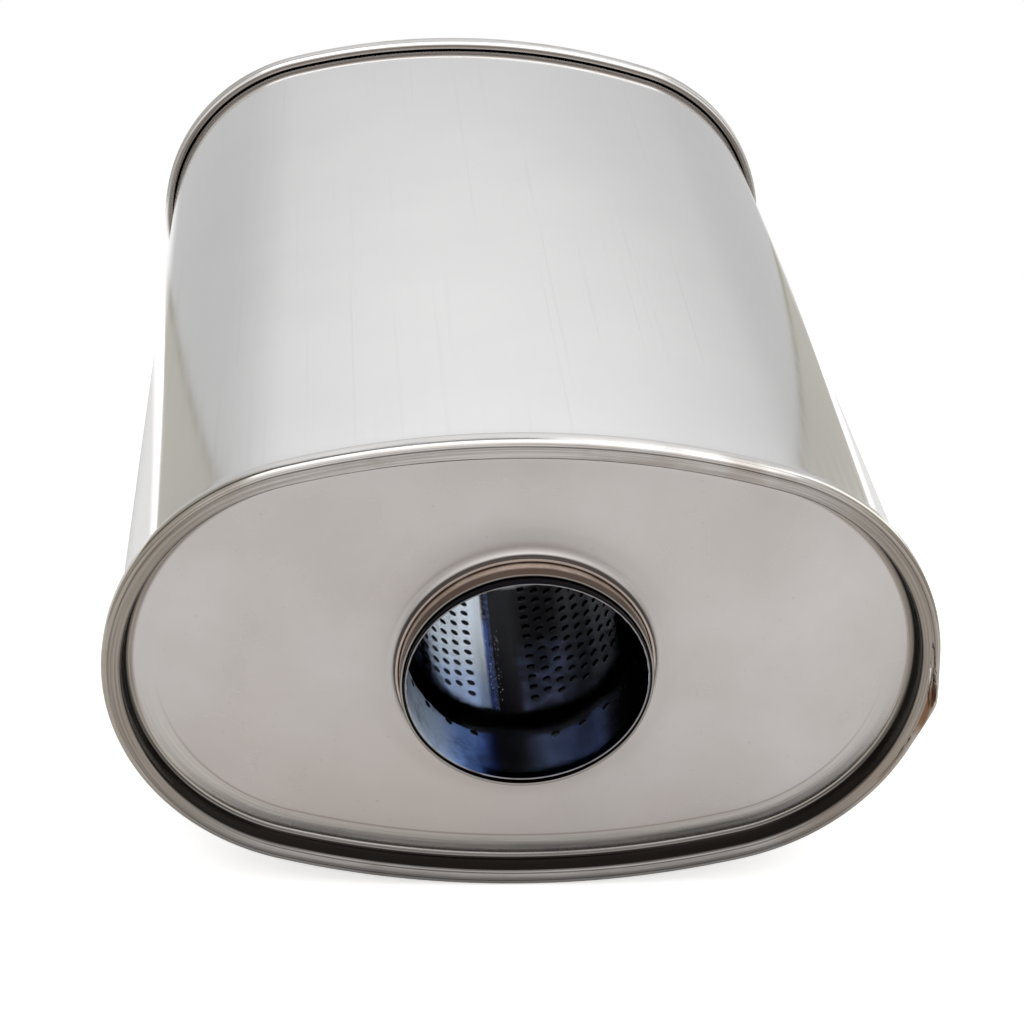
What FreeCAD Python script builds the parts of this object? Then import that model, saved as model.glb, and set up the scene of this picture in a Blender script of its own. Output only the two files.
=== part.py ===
import FreeCAD, Part
import math
import os

from FreeCAD import Vector

os.makedirs("parts", exist_ok=True)

# Straight-through absorption muffler with an oval body, lengths in millimetres.
# X runs across the body, Y from the inlet to the outlet, Z up.
# The origin is on the gas tube's axis, in the plane of the inlet rim's front.

# Oval body, measured over its rolled rims
body_width = 222.0
body_height = 140.8
body_length = 306.6
broad_side_crown = 6.55

# Sheet and the rolled double seam that joins each cap to the shell
sheet = 1.0
seam_play = 0.06
seam_length = 6.0
seam_hook_length = 3.4
rim_outer_bend = 1.4
rim_inner_bend = 1.3

# Lap of the shell's long seam and the bulge it makes in the rims
lap_angle = -8.0
lap_width = 14.0
lap_bulge = 2.2
lap_corner_bend = 6.0
lap_edge_inset = 0.6
lap_sink = 0.5

# Pressed end caps
cap_recess = 6.05
cap_corner_bend = 1.2
panel_ramp_inset = 8.0
panel_ramp_width = 6.0
panel_rise = 0.6
panel_ramp_foot_bend = 28.0
panel_ramp_bend = 40.0
panel_flat_width = 3.0
collar_proud = 2.05
collar_bend = 2.5
swell_width = 5.5
swell_rise = 0.6
swell_bend = 20.0
swell_gap = 4.3
swell_flat_width = 2.0

# Gas tube: a pipe of this diameter slips into either end
pipe_diameter = 63.5
pipe_play = 0.09
core_wall = 0.8
core_step = 1.04
core_proud = 0.8
mouth_skew_angle = 3.2
socket_depth = 19.0
step_length = 9.0

# Neck tubes between the core and the cap collars
neck_wall = 0.9
neck_play = 0.06
neck_proud = 3.1
neck_length = 15.0

# Perforation of the core
hole_diameter = 2.5
holes_per_ring = 24
ring_pitch = 20.8
first_ring = 16.0
plain_strip_start_angle = -21.0
plain_strip_end_angle = 12.0
hole_column_angle = 5.4
hole_clear_of_step = 2.0

# Longitudinal weld of the core
core_seam_angle = -7.5
weld_width = 1.6
weld_height = 0.25

# Packing and inner wrap
wrap_wall = 0.6
wool_thickness = 4.5
mat_outer_radius = 56.0
packing_play = 0.3

# Oval outline: two end arcs and two broad arcs, all tangent
half_height = body_height / 2
body_end_radius = half_height - broad_side_crown
end_centre_x = body_width / 2 - body_end_radius
broad_radius = (
    (end_centre_x**2 + half_height**2 - body_end_radius**2)
    / (2 * (half_height - body_end_radius))
)
broad_centre_z = half_height - broad_radius
end_half_angle = math.degrees(math.atan2(-broad_centre_z, end_centre_x))
broad_half_angle = 90 - end_half_angle

along_y = Vector(0, 1, 0)
against_y = Vector(0, -1, 0)

# Each arc: centre x, centre z, radius, first angle, sweep
oval_arcs = [
    (end_centre_x, 0.0, body_end_radius, -end_half_angle, 2 * end_half_angle),
    (0.0, broad_centre_z, broad_radius, end_half_angle, 2 * broad_half_angle),
    (-end_centre_x, 0.0, body_end_radius, 180 - end_half_angle, 2 * end_half_angle),
    (0.0, -broad_centre_z, broad_radius, 180 + end_half_angle, 2 * broad_half_angle),
]

# Places of the five layers of the seam, from the outside in (middle of each layer)
layer_pitch = sheet + seam_play
cap_outer_layer = sheet / 2
shell_hook_layer = cap_outer_layer + layer_pitch
cap_hook_layer = shell_hook_layer + layer_pitch
shell_layer = cap_hook_layer + layer_pitch
cap_wall_layer = shell_layer + layer_pitch
seam_bend = layer_pitch

# Radii of the gas path
socket_radius = pipe_diameter / 2 + pipe_play
bore_radius = socket_radius - core_step
socket_outer_radius = socket_radius + core_wall
bore_outer_radius = bore_radius + core_wall
neck_inner_radius = socket_outer_radius + neck_play
neck_outer_radius = neck_inner_radius + neck_wall
collar_layer = neck_outer_radius + neck_play + sheet / 2

# Planes of the cap
plate_layer = cap_recess + sheet / 2
panel_layer = plate_layer - panel_rise
panel_inset = panel_ramp_inset + panel_ramp_width + panel_flat_width
plate_hole_radius = collar_layer + swell_gap + swell_width
cap_back = cap_recess + sheet


def polar(radius, angle):
    """Point of the X-Z plane at a radius and an angle in degrees from +X."""
    turn = math.radians(angle)
    return radius * math.cos(turn), radius * math.sin(turn)


def unit(start, end):
    """Direction from one 2-D point to another, and the distance."""
    step_x = end[0] - start[0]
    step_y = end[1] - start[1]
    length = math.hypot(step_x, step_y)
    return (step_x / length, step_y / length), length


def side_corners(path, shift):
    """Corners of a 2-D path moved sideways by a shift, to its left if positive."""
    corners = []
    for index, point in enumerate(path):
        normals = []
        if index > 0:
            direction, _ = unit(path[index - 1], point)
            normals.append((-direction[1], direction[0]))
        if index < len(path) - 1:
            direction, _ = unit(point, path[index + 1])
            normals.append((-direction[1], direction[0]))
        sum_x = sum(normal[0] for normal in normals)
        sum_y = sum(normal[1] for normal in normals)
        scale = shift * len(normals) / (sum_x**2 + sum_y**2)
        corners.append((point[0] + sum_x * scale, point[1] + sum_y * scale))
    return corners


def rounded_edges(corners, bends, place):
    """Lines and arcs through 2-D corners, rounded by a bend radius at each."""
    edges = []
    last = corners[0]
    for index in range(1, len(corners) - 1):
        back, _ = unit(corners[index], corners[index - 1])
        ahead, _ = unit(corners[index], corners[index + 1])
        opening = math.acos(back[0] * ahead[0] + back[1] * ahead[1])
        bend = bends[index - 1]
        reach = bend / math.tan(opening / 2)
        to_middle = bend / math.sin(opening / 2) - bend
        first = (corners[index][0] + back[0] * reach, corners[index][1] + back[1] * reach)
        final = (corners[index][0] + ahead[0] * reach, corners[index][1] + ahead[1] * reach)
        inward, _ = unit((0, 0), (back[0] + ahead[0], back[1] + ahead[1]))
        middle = (
            corners[index][0] + inward[0] * to_middle,
            corners[index][1] + inward[1] * to_middle,
        )
        if math.dist(last, first) > 1e-6:
            edges.append(Part.makeLine(place(last), place(first)))
        edges.append(Part.Arc(place(first), place(middle), place(final)).toShape())
        last = final
    edges.append(Part.makeLine(place(last), place(corners[-1])))
    return edges


def sheet_section(path, bends, thickness, place):
    """Face of a bent sheet whose middle line follows a 2-D path with bends."""
    half = thickness / 2
    turns = []
    for index in range(1, len(path) - 1):
        before, _ = unit(path[index - 1], path[index])
        after, _ = unit(path[index], path[index + 1])
        turns.append(math.copysign(1, before[0] * after[1] - before[1] * after[0]))
    left = side_corners(path, half)
    right = side_corners(path, -half)
    left_bends = [bend - turn * half for bend, turn in zip(bends, turns)]
    right_bends = [bend + turn * half for bend, turn in zip(bends, turns)]
    edges = rounded_edges(left, left_bends, place)
    edges += rounded_edges(right, right_bends, place)
    edges.append(Part.makeLine(place(left[0]), place(right[0])))
    edges.append(Part.makeLine(place(left[-1]), place(right[-1])))
    wire = Part.Wire(Part.__sortEdges__(edges))
    return Part.Face(wire)


def polygon_section(points, place):
    """Face of a closed 2-D polygon."""
    corners = [place(point) for point in points]
    return Part.Face(Part.makePolygon(corners + corners[:1]))


def oval_ring(make_section):
    """Carry a section round the oval; a section's first axis is the inset from the rim."""
    pieces = []
    for centre_x, centre_z, radius, first_angle, sweep in oval_arcs:
        out_x, out_z = polar(1, first_angle)
        centre = Vector(centre_x, 0, centre_z)

        def place(point):
            reach = radius - point[0]
            return Vector(centre_x + out_x * reach, point[1], centre_z + out_z * reach)

        pieces.append(make_section(place).revolve(centre, against_y, sweep))
    return pieces[0].fuse(pieces[1:]).removeSplitter()


def round_ring(make_section):
    """Revolve a section round the gas tube's axis; its first axis is the radius."""
    def place(point):
        return Vector(point[0], point[1], 0)

    return make_section(place).revolve(Vector(0, 0, 0), along_y, 360)


def oval_slab(inset, first_y, last_y):
    """Solid oval plate, inset from the rim's outline, between two planes."""
    edges = []
    for centre_x, centre_z, radius, first_angle, sweep in oval_arcs:
        ends = []
        for share in (0, 0.5, 1):
            x, z = polar(radius - inset, first_angle + share * sweep)
            ends.append(Vector(centre_x + x, first_y, centre_z + z))
        edges.append(Part.Arc(*ends).toShape())
    face = Part.Face(Part.Wire(edges))
    return face.extrude(Vector(0, last_y - first_y, 0))


def rod(radius, first_y, last_y):
    """Solid cylinder on the gas tube's axis."""
    return Part.makeCylinder(radius, last_y - first_y, Vector(0, first_y, 0), along_y)


def at_outlet(shape):
    """The same piece turned to the outlet end, with the lap kept on its side."""
    middle = Vector(0, body_length / 2, 0)
    return shape.mirror(middle, along_y)


def lap_kite(standoff, first_y, last_y):
    """Prism under two lines that leave the end arc and meet over the lap."""
    radius = body_end_radius + standoff
    peak = body_end_radius + lap_bulge + standoff
    spread = math.degrees(math.acos(radius / peak))
    corners = []
    for reach, angle in ((radius, -spread), (peak, 0), (radius, spread)):
        corners.append(polar(reach, lap_angle + angle))
    bend = lap_corner_bend + standoff

    def place(point):
        return Vector(end_centre_x + point[0], first_y, point[1])

    edges = rounded_edges(corners, [bend], place)
    edges.append(Part.makeLine(place(corners[-1]), place((0, 0))))
    edges.append(Part.makeLine(place((0, 0)), place(corners[0])))
    face = Part.Face(Part.Wire(Part.__sortEdges__(edges)))
    return face.extrude(Vector(0, last_y - first_y, 0))


def rim_bulge():
    """Sheet of the rim where it stands off over the shell's lap."""
    first_y = lap_edge_inset
    last_y = seam_length - lap_edge_inset
    bulge = lap_kite(0, first_y, last_y).cut(lap_kite(-sheet, first_y, last_y))
    inside = Part.makeCylinder(
        body_end_radius - lap_sink,
        body_length,
        Vector(end_centre_x, 0, 0),
        along_y,
    )
    return bulge.cut(inside)


def end_cap():
    """Pressed cap: hem of the double seam, recess, raised panel and drawn collar."""
    hook_tip = seam_length - seam_hook_length
    hem_path = [
        (cap_hook_layer, hook_tip),
        (cap_hook_layer, seam_length - sheet / 2),
        (cap_outer_layer, seam_length - sheet / 2),
        (cap_outer_layer, sheet / 2),
        (cap_wall_layer, sheet / 2),
        (cap_wall_layer, plate_layer),
        (panel_ramp_inset, plate_layer),
        (panel_ramp_inset + panel_ramp_width, panel_layer),
        (panel_inset, panel_layer),
    ]
    hem_bends = [
        seam_bend,
        seam_bend,
        rim_outer_bend - sheet / 2,
        rim_inner_bend - sheet / 2,
        cap_corner_bend + sheet / 2,
        panel_ramp_foot_bend,
        panel_ramp_bend,
    ]
    hem = oval_ring(lambda place: sheet_section(hem_path, hem_bends, sheet, place))

    panel_front = panel_layer - sheet / 2
    panel = oval_slab(panel_inset, panel_front, panel_front + sheet)
    panel = panel.cut(rod(plate_hole_radius, panel_front - sheet, panel_front + 2 * sheet))

    swell_layer = panel_layer - swell_rise
    collar_path = [
        (plate_hole_radius, panel_layer),
        (plate_hole_radius - swell_flat_width, panel_layer),
        (collar_layer + swell_gap, swell_layer),
        (collar_layer, swell_layer),
        (collar_layer, collar_proud),
    ]
    collar_bends = [swell_bend, swell_bend, collar_bend + sheet / 2]
    collar = round_ring(lambda place: sheet_section(collar_path, collar_bends, sheet, place))
    return hem.fuse([panel, collar, rim_bulge()]).removeSplitter()


def outer_shell():
    """Rolled shell: oval wall, a hook at each end and the lap of its long seam."""
    hook_tip = sheet + seam_play + seam_hook_length
    near_bend = sheet + seam_play + sheet / 2
    path = [
        (shell_hook_layer, hook_tip),
        (shell_hook_layer, near_bend),
        (shell_layer, near_bend),
        (shell_layer, body_length - near_bend),
        (shell_hook_layer, body_length - near_bend),
        (shell_hook_layer, body_length - hook_tip),
    ]
    bends = [seam_bend] * 4
    wall = oval_ring(lambda place: sheet_section(path, bends, sheet, place))

    lap_inner = body_end_radius - shell_layer
    lap_outer = lap_inner + sheet / 2 + sheet
    half_lap = math.degrees(lap_width / 2 / lap_inner)
    first_y = seam_length + packing_play
    last_y = body_length - first_y
    out_x, out_z = polar(1, lap_angle - half_lap)
    corners = [
        (lap_inner, first_y),
        (lap_outer, first_y),
        (lap_outer, last_y),
        (lap_inner, last_y),
    ]

    def place(point):
        return Vector(end_centre_x + out_x * point[0], point[1], out_z * point[0])

    centre = Vector(end_centre_x, 0, 0)
    lap = polygon_section(corners, place).revolve(centre, against_y, 2 * half_lap)
    return wall.fuse(lap).removeSplitter()


def inner_wrap():
    """Second, thinner wrap inside the shell, between the two caps."""
    first_inset = shell_layer + sheet / 2 + seam_play
    first_y = cap_back + packing_play
    corners = [
        (first_inset, first_y),
        (first_inset, body_length - first_y),
        (first_inset + wrap_wall, body_length - first_y),
        (first_inset + wrap_wall, first_y),
    ]
    return oval_ring(lambda place: polygon_section(corners, place))


def neck_tube():
    """Short tube between the cap's collar and the core."""
    corners = [
        (neck_inner_radius, -neck_proud),
        (neck_outer_radius, -neck_proud),
        (neck_outer_radius, neck_length - neck_proud),
        (neck_inner_radius, neck_length - neck_proud),
    ]
    return round_ring(lambda place: polygon_section(corners, place))


def hole_angles(shift):
    """Angles of a ring's holes from straight down, clear of the plain strip."""
    step = 360 / holes_per_ring
    angles = []
    for index in range(holes_per_ring):
        angle = hole_column_angle + index * step + shift * step / 2
        turned = (angle + 180) % 360 - 180
        if turned < plain_strip_start_angle or turned > plain_strip_end_angle:
            angles.append(turned)
    return angles


def core_tube():
    """Perforated tube, swaged out at both ends to a socket for the pipe."""
    mouth = -neck_proud - core_proud
    skew_reach = socket_outer_radius * math.tan(math.radians(mouth_skew_angle))
    far_mouth = body_length - mouth
    step_end = socket_depth + step_length
    inner = [
        (socket_radius, mouth - skew_reach),
        (socket_radius, socket_depth),
        (bore_radius, step_end),
        (bore_radius, body_length - step_end),
        (socket_radius, body_length - socket_depth),
        (socket_radius, far_mouth),
    ]
    outer = [(radius + core_wall, y) for radius, y in reversed(inner)]
    tube = round_ring(lambda place: polygon_section(inner + outer, place))

    drills = []
    drill_start = bore_radius - hole_diameter
    drill_reach = socket_outer_radius + hole_diameter - drill_start
    rings = [first_ring]
    y = step_end + hole_clear_of_step
    while y < body_length - step_end:
        rings.append(y)
        y += ring_pitch
    rings.append(body_length - first_ring)
    for number, ring_y in enumerate(rings):
        for angle in hole_angles(number % 2):
            x, z = polar(1, angle - 90)
            start = Vector(x * drill_start, ring_y, z * drill_start)
            drills.append(Part.makeCylinder(hole_diameter / 2, drill_reach, start, Vector(x, 0, z)))
    return tube.cut(drills + [skewed_end(mouth)])


def skewed_end(mouth):
    """Block that trims the inlet mouth of the core at its small skew."""
    reach = 2 * socket_outer_radius
    drop = reach * math.tan(math.radians(mouth_skew_angle))
    corners = [
        Vector(-reach, mouth - drop, reach),
        Vector(-reach, mouth + drop, -reach),
        Vector(-reach, mouth - reach, -reach),
        Vector(-reach, mouth - reach, reach),
    ]
    face = Part.Face(Part.makePolygon(corners + corners[:1]))
    return face.extrude(Vector(2 * reach, 0, 0))


def core_seam_weld():
    """Weld bead along the inside of the core, between the two sockets."""
    step_end = socket_depth + step_length
    half_angle = math.degrees(weld_width / 2 / bore_radius)
    middle_angle = core_seam_angle - 90
    ends = []
    for angle in (middle_angle - half_angle, middle_angle + half_angle):
        x, z = polar(bore_radius, angle)
        ends.append(Vector(x, step_end, z))
    wall_x, wall_z = polar(bore_radius, middle_angle)
    crown_x, crown_z = polar(bore_radius - weld_height, middle_angle)
    wall_arc = Part.Arc(ends[0], Vector(wall_x, step_end, wall_z), ends[1])
    crown_arc = Part.Arc(ends[1], Vector(crown_x, step_end, crown_z), ends[0])
    face = Part.Face(Part.Wire([wall_arc.toShape(), crown_arc.toShape()]))
    return face.extrude(Vector(0, body_length - 2 * step_end, 0))


def wool_sleeve():
    """Steel wool wound on the perforated length, up to the neck tubes."""
    first_y = neck_length - neck_proud + packing_play
    step_end = socket_depth + step_length
    wide = socket_outer_radius + packing_play
    narrow = bore_outer_radius + packing_play
    outer_radius = narrow + wool_thickness
    corners = [
        (wide, first_y),
        (wide, socket_depth),
        (narrow, step_end),
        (narrow, body_length - step_end),
        (wide, body_length - socket_depth),
        (wide, body_length - first_y),
        (outer_radius, body_length - first_y),
        (outer_radius, first_y),
    ]
    return round_ring(lambda place: polygon_section(corners, place))


def round_mat():
    """Fibre mat wound on the steel wool."""
    first_y = cap_back + packing_play
    last_y = body_length - first_y
    inner_radius = bore_outer_radius + wool_thickness + 2 * packing_play
    return rod(mat_outer_radius, first_y, last_y).cut(rod(inner_radius, first_y, last_y))


def oval_mat():
    """Fibre mat that fills the oval round the wound one."""
    first_y = cap_back + packing_play
    last_y = body_length - first_y
    inset = shell_layer + sheet / 2 + seam_play + wrap_wall + packing_play
    return oval_slab(inset, first_y, last_y).cut(rod(mat_outer_radius + packing_play, first_y, last_y))


inlet_cap = end_cap()
inlet_neck = neck_tube()
parts = {
    "outer_shell": outer_shell(),
    "inner_wrap": inner_wrap(),
    "inlet_end_cap": inlet_cap,
    "outlet_end_cap": at_outlet(inlet_cap),
    "inlet_neck_tube": inlet_neck,
    "outlet_neck_tube": at_outlet(inlet_neck),
    "core_tube": core_tube(),
    "core_seam_weld": core_seam_weld(),
    "steel_wool_sleeve": wool_sleeve(),
    "round_packing_mat": round_mat(),
    "oval_packing_mat": oval_mat(),
}

for name, shape in parts.items():
    shape.exportStep("parts/" + name + ".step")
    print(name, shape.isValid(), len(shape.Solids), round(shape.Volume), shape.BoundBox)
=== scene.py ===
import math
import random

import bmesh
import bpy
from mathutils import Matrix, Vector


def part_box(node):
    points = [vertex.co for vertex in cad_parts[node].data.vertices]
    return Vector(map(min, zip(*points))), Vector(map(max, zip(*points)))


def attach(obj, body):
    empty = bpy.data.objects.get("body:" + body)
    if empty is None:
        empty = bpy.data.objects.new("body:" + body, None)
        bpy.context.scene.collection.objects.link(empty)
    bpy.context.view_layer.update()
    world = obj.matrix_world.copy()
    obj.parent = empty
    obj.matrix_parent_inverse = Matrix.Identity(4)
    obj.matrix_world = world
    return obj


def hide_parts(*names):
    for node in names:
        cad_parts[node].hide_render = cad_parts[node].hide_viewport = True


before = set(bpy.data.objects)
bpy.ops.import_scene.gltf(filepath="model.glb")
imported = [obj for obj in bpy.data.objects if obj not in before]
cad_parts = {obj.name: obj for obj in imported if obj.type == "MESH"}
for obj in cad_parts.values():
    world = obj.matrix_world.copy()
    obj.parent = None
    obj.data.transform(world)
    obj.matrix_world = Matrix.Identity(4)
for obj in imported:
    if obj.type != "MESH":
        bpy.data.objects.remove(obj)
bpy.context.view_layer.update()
print("stage: packed muffler loaded")

mm = 0.001

capLow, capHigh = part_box("inlet_end_cap")
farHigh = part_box("outlet_end_cap")[1]
neckLow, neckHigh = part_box("inlet_neck_tube")

body = {
    "halfWidth": -capLow.x,
    "halfHeight": capHigh.z,
    "length": farHigh.y,
    "sideCrown": 6.55 * mm,        # broad sides stand this far over the end arcs
    "stationSpacing": 1.35 * mm,   # mesh step round the oval
    "bendStep": math.radians(13),  # mesh step round a bend
}

sheet = {
    "thickness": 1.0 * mm,
    "play": 0.06 * mm,             # between the layers of the rolled seam
}

lap = {
    "angle": math.radians(-8.0),   # place of the shell's lap on the right end arc
    "width": 14.0 * mm,
    "bulge": 2.0 * mm,             # how far the rim stands off over the lap
    "slitInset": 2.35 * mm,        # joint line on the rim's front
    "slitWidth": 0.3 * mm,
    "slitDepth": 0.35 * mm,
    "gapWidth": 1.1 * mm,          # the slit where the lap opens it
    "gapDepth": 2.6 * mm,
}

# outline of the oval body: two end arcs and two broad arcs, all tangent

endRadius = body["halfHeight"] - body["sideCrown"]
endX = body["halfWidth"] - endRadius
broadRadius = (endX ** 2 + body["halfHeight"] ** 2 - endRadius ** 2) / (2 * body["sideCrown"])
broadZ = body["halfHeight"] - broadRadius
endHalf = math.atan2(-broadZ, endX)
broadHalf = math.pi / 2 - endHalf

ovalArcs = [
    (endX, 0.0, endRadius, -endHalf, 2 * endHalf),
    (0.0, broadZ, broadRadius, endHalf, 2 * broadHalf),
    (-endX, 0.0, endRadius, math.pi - endHalf, 2 * endHalf),
    (0.0, -broadZ, broadRadius, math.pi + endHalf, 2 * broadHalf),
]


def ovalStations():
    stations = []
    for centreX, centreZ, radius, start, sweep in ovalArcs:
        angle = start
        while angle < start + sweep - 1e-9:
            stations.append((centreX, centreZ, radius, angle))
            nearLap = centreX > 0 and abs(angle - lap["angle"]) < math.radians(19)
            share = 0.5 if nearLap else 1.0
            steps = max(1, round((start + sweep - angle) * radius / (body["stationSpacing"] * share)))
            angle += (start + sweep - angle) / steps
    return stations


def ovalPoint(station, inset, y):
    centreX, centreZ, radius, angle = station
    reach = radius - inset
    return Vector((centreX + math.cos(angle) * reach, y, centreZ + math.sin(angle) * reach))


def smooth(low, high, value):
    share = min(1.0, max(0.0, (value - low) / (high - low)))
    return share * share * (3 - 2 * share)


def lapLift(station):
    if station[0] <= 0 or station[1] != 0:
        return 0.0
    spread = math.acos(endRadius / (endRadius + lap["bulge"]))
    away = math.hypot(station[3] - lap["angle"], math.radians(1.6))
    if away >= spread:
        return 0.0
    return endRadius / math.cos(spread - away) - endRadius


def unit(start, end):
    length = math.dist(start, end)
    return (end[0] - start[0]) / length, (end[1] - start[1]) / length


def sideCorners(path, shift):
    corners = []
    for i, point in enumerate(path):
        normals = []
        if i > 0:
            along = unit(path[i - 1], point)
            normals.append((-along[1], along[0]))
        if i < len(path) - 1:
            along = unit(point, path[i + 1])
            normals.append((-along[1], along[0]))
        sumX = sum(n[0] for n in normals)
        sumY = sum(n[1] for n in normals)
        scale = shift * len(normals) / (sumX ** 2 + sumY ** 2)
        corners.append((point[0] + sumX * scale, point[1] + sumY * scale))
    return corners


def roundedLine(corners, bends):
    points = [corners[0]]
    for i in range(1, len(corners) - 1):
        corner, bend = corners[i], bends[i - 1]
        back, ahead = unit(corner, corners[i - 1]), unit(corner, corners[i + 1])
        opening = math.acos(back[0] * ahead[0] + back[1] * ahead[1])
        middle = unit((0, 0), (back[0] + ahead[0], back[1] + ahead[1]))
        away = bend / math.sin(opening / 2)
        centre = (corner[0] + middle[0] * away, corner[1] + middle[1] * away)
        reach = bend / math.tan(opening / 2)
        first = (corner[0] + back[0] * reach, corner[1] + back[1] * reach)
        last = (corner[0] + ahead[0] * reach, corner[1] + ahead[1] * reach)
        start = math.atan2(first[1] - centre[1], first[0] - centre[0])
        turn = math.atan2(last[1] - centre[1], last[0] - centre[0]) - start
        turn = (turn + math.pi) % (2 * math.pi) - math.pi
        steps = max(2, math.ceil(abs(turn) / body["bendStep"]))
        for k in range(steps + 1):
            angle = start + turn * k / steps
            points.append((centre[0] + bend * math.cos(angle), centre[1] + bend * math.sin(angle)))
    points.append(corners[-1])
    return points


def sheetSides(path, bends, thickness):
    half = thickness / 2
    turns = []
    for i in range(1, len(path) - 1):
        before, after = unit(path[i - 1], path[i]), unit(path[i], path[i + 1])
        turns.append(math.copysign(1, before[0] * after[1] - before[1] * after[0]))
    left = roundedLine(sideCorners(path, half), [b - t * half for b, t in zip(bends, turns)])
    right = roundedLine(sideCorners(path, -half), [b + t * half for b, t in zip(bends, turns)])
    return left, right


def spread(points, longest):
    made = [points[0]]
    for point in points[1:]:
        steps = max(1, math.ceil(math.dist(made[-1], point) / longest))
        start = made[-1]
        for k in range(1, steps + 1):
            made.append((start[0] + (point[0] - start[0]) * k / steps,
                         start[1] + (point[1] - start[1]) * k / steps))
    return made


def buildMesh(name, vertices, faces, sharpAngle=38):
    mesh = bpy.data.meshes.new(name)
    mesh.from_pydata([tuple(v) for v in vertices], [], faces)
    mesh.validate()
    mesh.polygons.foreach_set("use_smooth", [True] * len(mesh.polygons))
    mesh.set_sharp_from_angle(angle=math.radians(sharpAngle))
    piece = bpy.data.objects.new(name, mesh)
    bpy.context.scene.collection.objects.link(piece)
    return piece


def ringMesh(name, rings, closedSection=True, sharpAngle=38):
    # rings: one list of points per profile point, all of the same length, closed on themselves
    count = len(rings[0])
    vertices = [point for ring in rings for point in ring]
    faces = []
    last = len(rings) if closedSection else len(rings) - 1
    for i in range(last):
        j = (i + 1) % len(rings)
        for k in range(count):
            n = (k + 1) % count
            faces.append((i * count + k, i * count + n, j * count + n, j * count + k))
    return buildMesh(name, vertices, faces, sharpAngle)


def paint(piece, name, value):
    # a per-vertex mask, worked out from the vertex's own place
    layer = piece.data.attributes.new(name, "FLOAT", "POINT")
    layer.data.foreach_set("value", [value(v.co) for v in piece.data.vertices])


def turnOut(piece):
    made = bmesh.new()
    made.from_mesh(piece.data)
    bmesh.ops.recalc_face_normals(made, faces=made.faces)
    made.to_mesh(piece.data)
    made.free()


def toOutlet(name, piece):
    copy = piece.copy()
    copy.data = piece.data.copy()
    copy.name = name
    copy.data.name = name
    mirror = Matrix.Translation((0, body["length"], 0)) @ Matrix.Diagonal((1, -1, 1, 1))
    copy.data.transform(mirror)
    copy.data.flip_normals()
    bpy.context.scene.collection.objects.link(copy)
    return copy


stations = ovalStations()
layerPitch = sheet["thickness"] + sheet["play"]
layers = {
    "capOuter": sheet["thickness"] / 2,
    "shellHook": sheet["thickness"] / 2 + layerPitch,
    "capHook": sheet["thickness"] / 2 + 2 * layerPitch,
    "shell": sheet["thickness"] / 2 + 3 * layerPitch,
    "capWall": sheet["thickness"] / 2 + 4 * layerPitch,
}

cap = {
    "rimLength": 6.0 * mm,
    "hookLength": 3.4 * mm,
    "rimOuterBend": 1.4 * mm,
    "rimInnerBend": 1.0 * mm,
    "grooveInset": 1.6 * mm,
    "grooveOuter": 0.9 * mm,       # how far the groove rounds over the outer fold
    "grooveInner": 0.4 * mm,
    "grooveDepth": 0.28 * mm,
    "recess": 6.05 * mm,
    "cornerBend": 2.0 * mm,
    "rampInset": 9.2 * mm,         # the face rises softly from the recess's foot
    "rampWidth": 5.0 * mm,
    "panelRise": 0.22 * mm,
    "footBend": 12.0 * mm,
    "rampBend": 45.0 * mm,
    "panelFlat": 3.0 * mm,
    "collarEdge": 2.95 * mm,       # depth of the collar's cut edge below the rim
    "collarBend": 2.2 * mm,
    "swellWidth": 5.5 * mm,
    "swellRise": 0.6 * mm,
    "swellBend": 20.0 * mm,
    "swellGap": 4.3 * mm,
    "swellFlat": 2.0 * mm,
    "collarRadius": neckHigh.x + 0.06 * mm + 0.5 * mm,
    "panelRings": 9,
    "landSteps": 18,               # mesh steps across the rim's front
    "lipRadius": 0.28 * mm,
}


def capSection():
    half = sheet["thickness"] / 2
    plate = cap["recess"] + half
    panel = plate - cap["panelRise"]
    panelInset = cap["rampInset"] + cap["rampWidth"] + cap["panelFlat"]
    hemPath = [
        (layers["capHook"], cap["rimLength"] - cap["hookLength"]),
        (layers["capHook"], cap["rimLength"] - half),
        (layers["capOuter"], cap["rimLength"] - half),
        (layers["capOuter"], half),
        (layers["capWall"], half),
        (layers["capWall"], plate),
        (cap["rampInset"], plate),
        (cap["rampInset"] + cap["rampWidth"], panel),
        (panelInset, panel),
    ]
    hemBends = [
        layerPitch,
        layerPitch,
        cap["rimOuterBend"] - half,
        cap["rimInnerBend"] - half,
        cap["cornerBend"] + half,
        cap["footBend"],
        cap["rampBend"],
    ]
    swell = panel - cap["swellRise"]
    holeRadius = cap["collarRadius"] + cap["swellGap"] + cap["swellWidth"]
    collarPath = [
        (-holeRadius, panel),
        (-holeRadius + cap["swellFlat"], panel),
        (-cap["collarRadius"] - cap["swellGap"], swell),
        (-cap["collarRadius"], swell),
        (-cap["collarRadius"], cap["collarEdge"]),
    ]
    collarBends = [cap["swellBend"], cap["swellBend"], cap["collarBend"] + half]
    hem = sheetSides(hemPath, hemBends, sheet["thickness"])
    collar = sheetSides(collarPath, collarBends, sheet["thickness"])
    return hem, collar


def rimGroove(inset):
    # the two folds of the rolled rim meet in this groove, all the way round
    outside = smooth(cap["grooveInset"] - cap["grooveOuter"], cap["grooveInset"], inset)
    inside = 1 - smooth(cap["grooveInset"], cap["grooveInset"] + cap["grooveInner"], inset)
    return cap["grooveDepth"] * min(outside ** 1.6, inside)


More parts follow.
